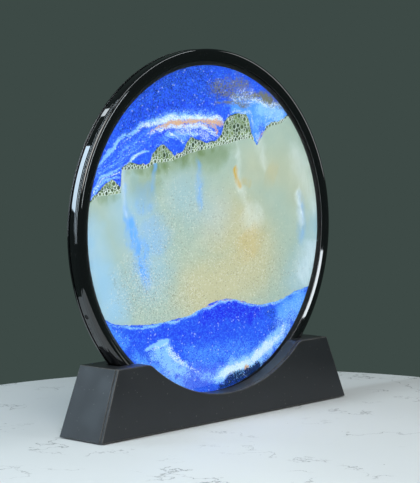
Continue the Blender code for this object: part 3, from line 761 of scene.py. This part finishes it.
LIQUID_STROKES = [
    ("warm", 0.9, [(16, 0), (32, -4), (42, -22), (18, -36), (-8, -44)], 26, 1.5),
    ("warm", 0.45, [(46, 42), (80, 38), (94, 24)], 17, 1.5),
    ("cool", 0.75, [(-116, 0), (-108, -18), (-94, -46)], 15, 1.5),
    ("cool", 0.5, [(-76, 16), (-66, -2), (-60, -24)], 18, 1.5),
    ("cool", 0.4, [(-76, 34), (-66, 34)], 9, 1.5),
    ("shade", 0.36, [(-78, 34), (-60, 34), (-44, 38)], 10, 1),
    ("cool", 0.3, [(-26, 26), (-12, 18), (4, 10)], 15, 1.5),
    ("cool", 0.45, [(116, -6), (108, -28), (96, -42)], 15, 1.5),
    ("shade", 0.5, [(-106, 26), (-96, 27), (-84, 27)], 3.5, 0.5, 0.9),
    ("shade", 0.9, [(-82, 43), (-60, 43.5), (-52, 45), (-34, 47), (-19, 52), (0, 54), (30, 59)], 6, 1),
    ("shade", 0.6, [(-22, 50), (2, 51), (22, 54)], 8, 1.5),
    ("blue", 0.7, [(-81.5, 48), (-80, 27), (-77, 12), (-72, -3), (-66, -15), (-63, -34)], 2.2, 1.2),
    ("blue", 0.95, [(-79, 18), (-72, -2), (-65, -14), (-62, -38)], 6.5, 3),
    ("blue", 0.3, [(-62, 12), (-54, -2), (-50, -16)], 12, 1.5),
    ("blue", 0.85, [(-52, 58), (-52.5, 46), (-55, 30)], 1.9, 0.5),
    ("blue", 0.55, [(-56, 36), (-61, 24), (-64, 12)], 7.5, 1.5),
    ("blue", 0.6, [(-12, 52), (-10.5, 34), (-9, 12)], 3, 0.9),
    ("blue", 0.6, [(95, 24), (95, 4), (96, -20)], 3.6, 0.8),
    ("white", 0.36, [(-82, 52), (-81.5, 34), (-78, 8)], 1.5, 0.4),
    ("white", 0.44, [(29, 66), (29, 46), (30.5, 32), (35, 22), (42, 8)], 3.2, 1.2),
    ("white", 0.3, [(50, 66), (54, 52), (57, 36)], 4, 1.5),
    ("white", 0.5, [(94, 28), (94, 12), (95, -8)], 3, 1.5),
    ("white", 0.95, [(93.5, 20), (94, 12), (94.5, 3)], 1.7, 1.5),
    ("white", 0.3, [(34, 14), (44, 6), (56, 12)], 9, 1.5),
    ("white", 0.28, [(84, 60), (96, 42), (106, 22), (110, 0)], 9, 1.5),
    ("white", 0.48, [(112, -14), (104, -32), (92, -44)], 11, 1.5),
    ("gold", 1.25, [(25.5, 43), (28, 36), (32, 27)], 2.1, 0.8, 0.9),
    ("gold", 0.5, [(32, 33), (38, 32), (43, 27)], 2.8, 1, 0.9),
    ("gold", 0.24, [(34, -2), (40, -12), (48, -22)], 13, 1.5),
    ("gold", 0.16, [(58, 40), (70, 32)], 10, 1.5),
    ("dust", 1, [(-68, -34), (-50, -46), (-26, -46)], 18, 1.5, 0.9),
    ("dust", 0.45, [(-30, -6), (20, -20), (50, -36)], 30, 1.5, 0.9),
]


def sheet(name, floor, roof, columns, rows, strokes, replaced, material, relief=0.1,
          half=CHAMBER_HALF, soft=0.8, taper=0.7, broken=0.15):
    """A closed slab between the panes, bounded by two lines, with its painted fields as mesh attributes."""
    xs = CHAMBER_RADIUS * 0.9995 * np.sin(np.linspace(-math.pi / 2, math.pi / 2, columns))
    low, high = floor(xs), roof(xs)
    keep = np.nonzero(high - low > THINNEST_SLAB)[0]
    vertices, faces = [], []
    for run in np.split(keep, np.nonzero(np.diff(keep) > 1)[0] + 1):
        if len(run) < 2:
            continue
        across = np.repeat(xs[run][:, None], rows + 1, 1)
        share = np.linspace(0, 1, rows + 1)[None, :]
        up = low[run][:, None] * (1 - share) + high[run][:, None] * share
        start, count = len(vertices), across.size
        lump = relief * (rough(across, up, 1.4, 71, 2) * 0.5 - 0.5)
        for side in (-1, 1):
            depth = side * (half + lump)
            vertices += [on_disc(*v) for v in zip(across.ravel(), depth.ravel(), up.ravel())]
        index = np.arange(count).reshape(across.shape) + start
        a, b, c, d = index[:-1, :-1], index[1:, :-1], index[1:, 1:], index[:-1, 1:]
        front = np.stack([a, b, c, d], -1).reshape(-1, 4)
        rim = np.concatenate([index[:, 0], index[-1, 1:], index[-2::-1, -1], index[0, -2:0:-1]])
        walls = np.stack([rim, np.roll(rim, -1), np.roll(rim, -1) + count, rim + count], -1)
        faces += front.tolist() + (front[:, ::-1] + count).tolist() + walls[:, ::-1].tolist()
    mesh = mesh_of(name, vertices, faces)
    spots = np.array(vertices)
    fields = paint(spots[:, 0], spots[:, 2] - DISC_HEIGHT / MM, strokes, soft, taper, broken)
    for field, values in fields.items():
        set_field(mesh, field, values)
    smooth_shade(mesh, 60)
    mesh.materials.append(material)
    return new_object(name, mesh, "picture", replaced)


def flow_lines(mesh):
    """Adds thin drawn-out layers to the sand that slid down the left: pale and dark lines along its flow."""
    count = len(mesh.vertices)
    flat = np.zeros(count * 3, np.float32)
    mesh.vertices.foreach_get("co", flat)
    x = flat[0::3] / MM
    z = (flat[2::3] - DISC_HEIGHT) / MM
    low = flow_bottom(x)
    share = (z - low) / np.maximum(pale_arc(x) + 3 - low, 1)
    inside = np.clip((share + 0.05) * 8, 0, 1) * np.clip((1.05 - share) * 8, 0, 1)
    fading = np.clip((-28 - x) / 22, 0, 1)
    waves = lattice_noise(share * 11 + 0.5 * rough(x, z, 12, 3), x / 50, 1, 17)
    waves2 = lattice_noise(share * 23 + 0.6 * rough(x, z, 10, 4), x / 40, 1, 27)
    lines = {"ice": np.clip(waves * 1.4 - 0.7, 0, 0.32), "white": np.clip(waves2 * 1.6 - 1.05, 0, 0.28),
             "deep": np.clip(-waves2 * 1.8 - 0.3, 0, 0.7)}
    for field, made in lines.items():
        old = np.zeros(count, np.float32)
        mesh.attributes[field].data.foreach_get("value", old)
        set_field(mesh, field, np.maximum(old, made * inside * fading))


def foam_bubbles(rng):
    """Packs bubbles of falling size into the air pockets, as (x, z, radius). The floor's row comes first."""
    made = []
    table_x = np.linspace(-CHAMBER_RADIUS, CHAMBER_RADIUS, 1200)
    table_low, table_high = foam_floor(table_x), foam_roof(table_x)

    def fits(x, z, radius, slack):
        low, high = np.interp(x, table_x, table_low), np.interp(x, table_x, table_high)
        if z - radius * 0.75 < low or z + radius * 0.75 > high or math.hypot(x, z) + radius > CHAMBER_RADIUS:
            return False
        return all((x - a) ** 2 + (z - b) ** 2 > ((radius + r) * slack) ** 2 for a, b, r in made)

    low_corner, high_corner = (-108, 22), (86, 82)
    x = low_corner[0]
    while x < 84:
        radius = rng.uniform(0.95, 1.55)
        z = np.interp(x, table_x, table_low) + radius * 0.8
        if fits(x, z, radius, 0.84):
            made.append((x, z, radius))
        x += radius * rng.uniform(1, 1.4)
    for radius, tries in ((1.7, 1500), (1.4, 2600), (1.15, 4500), (0.9, 6000), (0.7, 6000)):
        for x, z in rng.uniform(low_corner, high_corner, (tries, 2)):
            size = radius * rng.uniform(0.85, 1.15)
            if fits(x, z, size, 0.88):
                made.append((x, z, size))
    return made


def foam(bubbles, film, heart):
    """Each bubble is a flattened dome against both panes, in a raised wet rim."""
    around, deep = 14, CHAMBER_HALF - 0.12
    rim_y, rim_depth = CHAMBER_HALF - 0.35, 0.32
    rim_turns = [2 * math.pi * k / 5 for k in range(5)]
    dome_turns = [math.pi * k / 5 for k in range(1, 5)]
    rims, domes, bright = ([], []), ([], []), []
    for x, z, radius in bubbles:
        def at_bubble(u, y, v):
            return on_disc(x + u, y, z + v)

        thick = 0.07 * radius + 0.1
        dome = [(radius * 0.84 * math.sin(b) ** 0.5, -deep * math.cos(b)) for b in dome_turns]
        shapes = [(domes, [(0, -deep), *dome, (0, deep)], False)]
        for y in (-rim_y, rim_y):
            rim = [(radius * 0.94 + thick * math.cos(b), y + rim_depth * math.sin(b)) for b in rim_turns]
            shapes.append((rims, rim, True))
        for (vertices, faces), profile, closed in shapes:
            made = turned(profile, closed, around, at_bubble, len(vertices))
            vertices += made[0]
            faces += made[1]
        here = np.array([x])
        shine = max(0.35, min(1, 1.2 - (z - foam_floor(here)[0]) / 7))
        shine += 0.3 * lattice_noise(here, np.array([z]), 4, 9)[0]
        bright += [shine + 0.12] * (2 * around * len(rim_turns))
    for name, shape, material in (("foam_films", rims, film), ("foam_hearts", domes, heart)):
        mesh = mesh_of(name, *shape)
        smooth_shade(mesh)
        mesh.materials.append(material)
        if shape is rims:
            set_field(mesh, "bright", bright)
        new_object(name, mesh, "picture", ["air_bubbles"])


def loose_grains(name, spots, sizes, material, rng):
    """Single grains as small uneven eight-sided lumps."""
    vertices, faces = [], []
    tips = [(1, 0, 0), (-1, 0, 0), (0, 1, 0), (0, -1, 0), (0, 0, 1), (0, 0, -1)]
    sides = [(0, 2, 4), (2, 1, 4), (1, 3, 4), (3, 0, 4), (2, 0, 5), (1, 2, 5), (3, 1, 5), (0, 3, 5)]
    for (x, y, z), size in zip(spots, sizes):
        start = len(vertices)
        for tip in tips:
            reach = size / 2 * rng.uniform(0.7, 1.2)
            vertices.append(on_disc(x + tip[0] * reach, y + tip[1] * min(reach, 0.14), z + tip[2] * reach))
        faces += [[start + i for i in side] for side in sides]
    mesh = mesh_of(name, vertices, faces)
    mesh.materials.append(material)
    new_object(name, mesh, "picture", ())


def scatter_grains(rng):
    """Grains hanging in the liquid: a mist of them, more low on the left, and trails under the leaks."""
    floating = {kind: [] for kind in FLOATING}
    dark_count, mist_count = 420, 260
    while len(floating["dark"]) < dark_count:
        x, z = rng.normal(-42, 34), rng.normal(-34, 22)
        kind = "dark" if rng.uniform() < 0.6 else "pale"
        floating[kind].append((x, z))
    for _ in range(mist_count):
        floating["pale"].append((rng.uniform(-100, 100), rng.uniform(-52, 50)))
    trails = (("blue", [(-64, -24), (-73, -4), (-79, 22), (-81, 42)], 150),
              ("blue", [(-55, 28), (-52, 46)], 50), ("blue", [(-10, 22), (-11, 46)], 40),
              ("gold", [(33, 28), (27, 38), (27, 52)], 60), ("pale", [(38, 16), (30, 34), (29, 56)], 60),
              ("blue", [(95, -6), (95, 20)], 50))
    for kind, points, count in trails:
        xs, zs = zip(*points)
        heights = rng.uniform(zs[0], zs[-1], count)
        floating[kind] += list(zip(np.interp(heights, zs, xs) + rng.normal(0, 1.2, count), heights))
    for kind, spots in floating.items():
        placed = []
        for x, z in spots:
            inside = math.hypot(x, z) < CHAMBER_RADIUS - 1
            here = np.array([x])
            if inside and crest(here)[0] + 0.5 < z < foam_floor(here)[0] - 0.5:
                placed.append((x, rng.choice((-1, 1)) * (CHAMBER_HALF - 0.16), z))
        sizes = rng.uniform(0.28, 0.6, len(placed))
        slot, tone = FLOATING[kind]
        loose_grains(f"floating_{kind}_grains", placed, sizes, plain_grain(kind + "_grain", tone), rng)


def plain_grain(name, tone):
    """Loose grains of one colour, each a little lighter or darker."""
    m = Nodes(name)
    number = m.grains(1.5)[0]
    m.set(Base_Color=m.mix(number, tone, tuple(min(1, c * 1.8 + 0.02) for c in tone)))
    m.set(Roughness=m.range(number, 0, 1, 0.3, 0.7))
    return m.material


# ---- the stand ----


def stand_outline():
    """The stand's profile, anticlockwise from its bottom left."""
    shoulder_z = STAND_TOP - SHOULDER_RADIUS
    centre = DISC_HEIGHT / MM
    shoulder_x = math.sqrt((LEDGE_RADIUS + SHOULDER_RADIUS) ** 2 - (centre - shoulder_z) ** 2)
    angle = math.atan2(shoulder_z - centre, shoulder_x)
    right = arc(SHOULDER_RADIUS, math.pi / 2, angle + math.pi, 10, (shoulder_x, shoulder_z))
    bowl = arc(LEDGE_RADIUS, angle, -math.pi - angle, 96, (0, centre))
    left = [(-x, z) for x, z in reversed(right)]
    half, half_top = STAND_LENGTH / 2, STAND_TOP_LENGTH / 2
    foot = [(-half, STAND_BOTTOM), (half, STAND_BOTTOM)]
    return [*foot, (half_top, STAND_TOP), *right, *bowl[1:-1], *left, (-half_top, STAND_TOP)]


def tapered(bottom, top, z):
    """A measure of the stand at a height, between its bottom one and its top one."""
    share = (z - STAND_BOTTOM) / (STAND_TOP - STAND_BOTTOM)
    return bottom + (top - bottom) * share


def slope_y(z, inset=0):
    """The front face's y at a height, moved back by an inset."""
    return -tapered(STAND_DEPTH, STAND_TOP_DEPTH, z) / 2 + inset


def slab(name, points, front, back):
    """Extrudes an outline between two sloping faces, each given as y for a height."""
    count = len(points)
    vertices = [(x, front(z), z) for x, z in points] + [(x, back(z), z) for x, z in points]
    faces = [list(range(count)), list(range(2 * count - 1, count - 1, -1))]
    faces += [[i, (i + 1) % count, (i + 1) % count + count, i + count] for i in range(count)]
    return mesh_of(name, vertices, faces)


def box_mesh(name, bottom, top, low, high):
    """A box from a bottom rectangle (length, depth) to a top one."""
    corners = ((-1, -1), (1, -1), (1, 1), (-1, 1))
    levels = ((bottom, low), (top, high))
    vertices = [(sx * length / 2, sy * depth / 2, z) for (length, depth), z in levels for sx, sy in corners]
    faces = [[3, 2, 1, 0], [4, 5, 6, 7]] + [[i, (i + 1) % 4, (i + 1) % 4 + 4, i + 4] for i in range(4)]
    return mesh_of(name, vertices, faces)


def disc_mesh(radius, half_width):
    """A solid disc about the picture's axis, to cut with."""
    profile = [(0, -half_width), (radius, -half_width), (radius, half_width), (0, half_width)]
    return lathe("disc", profile, False, DISC_STEPS)


def stand_piece(name, front, back, materials):
    mesh = slab(name, stand_outline(), front, back)
    obj = new_object(name + "_fine", mesh, "stand", [name])
    for material in materials:
        obj.data.materials.append(material)
    return obj


def hollow_out(obj):
    """Cuts away the inside of the stand, open below, and leaves walls round the slot and the ledges."""
    low, high, through = -5, STAND_TOP - WALL, 60
    inner_low, inner_high = ((tapered(STAND_LENGTH, STAND_TOP_LENGTH, z) - 2 * WALL, depth - 2 * WALL)
                             for z, depth in ((low, STAND_DEPTH), (high, STAND_TOP_DEPTH)))
    pocket = new_object("pocket", box_mesh("pocket", inner_low, inner_high, low, high), None)
    slot_walls = disc_mesh(SLOT_RADIUS + WALL, SLOT_HALF + WALL)
    cut(pocket, slot_walls, disc_mesh(LEDGE_RADIUS + WALL, through))
    cut(obj, pocket.data)
    bpy.data.objects.remove(pocket, do_unlink=True)


def build_stand(*materials):
    """The front cover, and behind a fine seam the hollow body with its slot for the ring."""
    cover = stand_piece("stand_front_cover", slope_y, lambda z: slope_y(z, COVER_THICKNESS), materials)
    body_front = COVER_THICKNESS + SEAM
    body = stand_piece("stand_body", lambda z: slope_y(z, body_front), lambda z: -slope_y(z), materials)
    cut(body, disc_mesh(SLOT_RADIUS, SLOT_HALF))
    bevelled(cover, 0.6, 35, 1)
    bevelled(body, 0.6, 35, 1)
    hollow_out(body)
    finish_edges(cover, 40)
    finish_edges(body, 40)


# ---- the studio ----

LAMP_TARGET = Vector((0, 0, 0.12))


def studio_floor(material):
    """A small round table top, its middle a little in front of the stand and to its left."""
    radius, edge, under = 270, 6, -30
    middle_x, middle_y = -32, -31.5
    profile = [(0, 0), (radius - edge, 0), (radius - 0.3 * edge, -0.3 * edge), (radius, -edge)]
    profile += [(radius, under), (0, under)]
    mesh = lathe("floor", profile, False, 128, lambda x, y, z: (x + middle_x, z + middle_y, y))
    smooth_shade(mesh, 40)
    mesh.materials.append(material)
    new_object("floor", mesh, None)


def softbox(name, place, size, power, colour, lean=0):
    """A rectangular lamp that faces the picture, turned about its own line of sight by lean degrees."""
    light = bpy.data.lights.new(name, "AREA")
    light.shape = "RECTANGLE"
    light.size, light.size_y = size
    light.energy = power
    light.color = colour
    obj = bpy.data.objects.new(name, light)
    bpy.context.scene.collection.objects.link(obj)
    obj.location = place
    aimed = (LAMP_TARGET - Vector(place)).to_track_quat("-Z", "Y")
    obj.rotation_euler = (aimed @ Quaternion((0, 0, 1), math.radians(lean))).to_euler()


def studio():
    world = bpy.data.worlds.new("studio")
    world.use_nodes = True
    backdrop = world.node_tree.nodes["Background"]
    backdrop.inputs["Color"].default_value = (0.52, 0.76, 0.68, 1)
    backdrop.inputs["Strength"].default_value = 0.09
    bpy.context.scene.world = world
    bpy.context.scene.view_settings.view_transform = "Standard"
    softbox("key", (-0.75, -1, 1), (0.62, 0.95), 12.7, (1, 0.99, 0.975))
    softbox("left_strip", (-0.95, 0.12, 0.78), (0.09, 1.9), 9.5, (0.74, 0.9, 1))
    softbox("over_strip", (0.28, -0.55, 1.42), (0.2, 1.4), 4.6, (0.9, 0.96, 1), 88)
    softbox("left_window", (-0.92, 1.02, 0.56), (0.12, 1.05), 3.6, (0.66, 0.84, 1), 30)
    softbox("back_strip", (-0.25, 1.2, 0.65), (0.1, 1.3), 2, (0.85, 0.94, 1))
    softbox("front_strip", (0.27, -1.35, 0.525), (0.1, 0.74), 2.7, (0.85, 0.94, 1), -27)
    softbox("right_fill", (1.3, -0.5, 0.6), (0.3, 0.9), 1.5, (0.95, 0.98, 1))


AZIMUTH, ELEVATION, ROLL = math.radians(45.6), math.radians(4.3), math.radians(-1.04)
CAMERA_DISTANCE, CAMERA_TARGET, LENS = 1.2125, (0.0025, 0, 0.1231), 129.3


def camera():
    forward = Vector((math.sin(AZIMUTH) * math.cos(ELEVATION), math.cos(AZIMUTH) * math.cos(ELEVATION),
                      -math.sin(ELEVATION)))
    right = Vector((math.cos(AZIMUTH), -math.sin(AZIMUTH), 0))
    up = right.cross(forward)
    rolled_right = right * math.cos(ROLL) + up * math.sin(ROLL)
    rolled_up = up * math.cos(ROLL) - right * math.sin(ROLL)
    data = bpy.data.cameras.new("camera")
    data.lens = LENS
    data.sensor_width = 36
    obj = bpy.data.objects.new("camera", data)
    bpy.context.scene.collection.objects.link(obj)
    turn = Matrix((rolled_right, rolled_up, -forward)).transposed().to_4x4()
    obj.matrix_world = Matrix.Translation(Vector(CAMERA_TARGET) - forward * CAMERA_DISTANCE) @ turn
    bpy.context.scene.camera = obj


def dress_cad_nodes(materials):
    """Gives each CAD node whose name starts with a key that key's material."""
    for start, material in materials.items():
        for name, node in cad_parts.items():
            if name.startswith(start):
                node.data.materials.clear()
                node.data.materials.append(material)


def main():
    rng = np.random.default_rng(7)
    gloss = gloss_black("gloss_black")
    bezel("front_bezel", -1, gloss)
    bezel("rear_bezel", 1, gloss)
    rim_band(gloss)
    glass = clear_glass("pane_glass")
    pane("front_pane", -1, glass)
    pane("rear_pane", 1, glass)
    grains = sand("coloured_sand")
    upper = sheet("upper_sand", foam_roof, half_chord, 400, 120, UPPER_STROKES,
                  ["upper_blue_sand", "upper_white_sand", "upper_gold_sand"], grains)
    flow_lines(upper.data)
    sheet("lower_sand", lambda x: -half_chord(x), crest, 340, 80, LOWER_STROKES,
          ["lower_blue_sand", "lower_white_sand", "lower_dark_sand"], grains)
    sheet("clouded_liquid", crest, foam_floor, 300, 130, LIQUID_STROKES, ["liquid"],
          clouded_liquid("clouded_liquid"), 0.02, soft=0.95, taper=0.9, broken=0.5)
    heart = foam_heart("foam_heart")
    sheet("foam_depths", foam_floor, foam_roof, 300, 8, [], ["air_bubbles"], heart, 0.05,
          CHAMBER_HALF - 0.7)
    foam(foam_bubbles(rng), foam_film("foam_film"), heart)
    scatter_grains(rng)
    build_stand(satin_plastic("satin_black"), edge_wear_and_highlight("edge_wear_and_highlight"))
    dress_cad_nodes({
        "stand_base_plate": satin_plastic("base_plastic", (0.014, 0.014, 0.015), (0.45, 0.6), 0.1),
        "foot": soft_rubber("foot_rubber", (0.012, 0.012, 0.012)),
        "base_screw": plated_steel("zinc"),
        "front_seal": soft_rubber("silicone", (0.2, 0.21, 0.22)),
        "rear_seal": soft_rubber("silicone_rear", (0.2, 0.21, 0.22)),
        "chamber_spacer": satin_plastic("spacer_plastic", (0.01, 0.01, 0.011), (0.3, 0.4), 0.1),
        "fill_plug": soft_rubber("plug_rubber", (0.004, 0.004, 0.004)),
    })
    studio_floor(pale_floor("pale_floor"))
    studio()
    camera()


main()
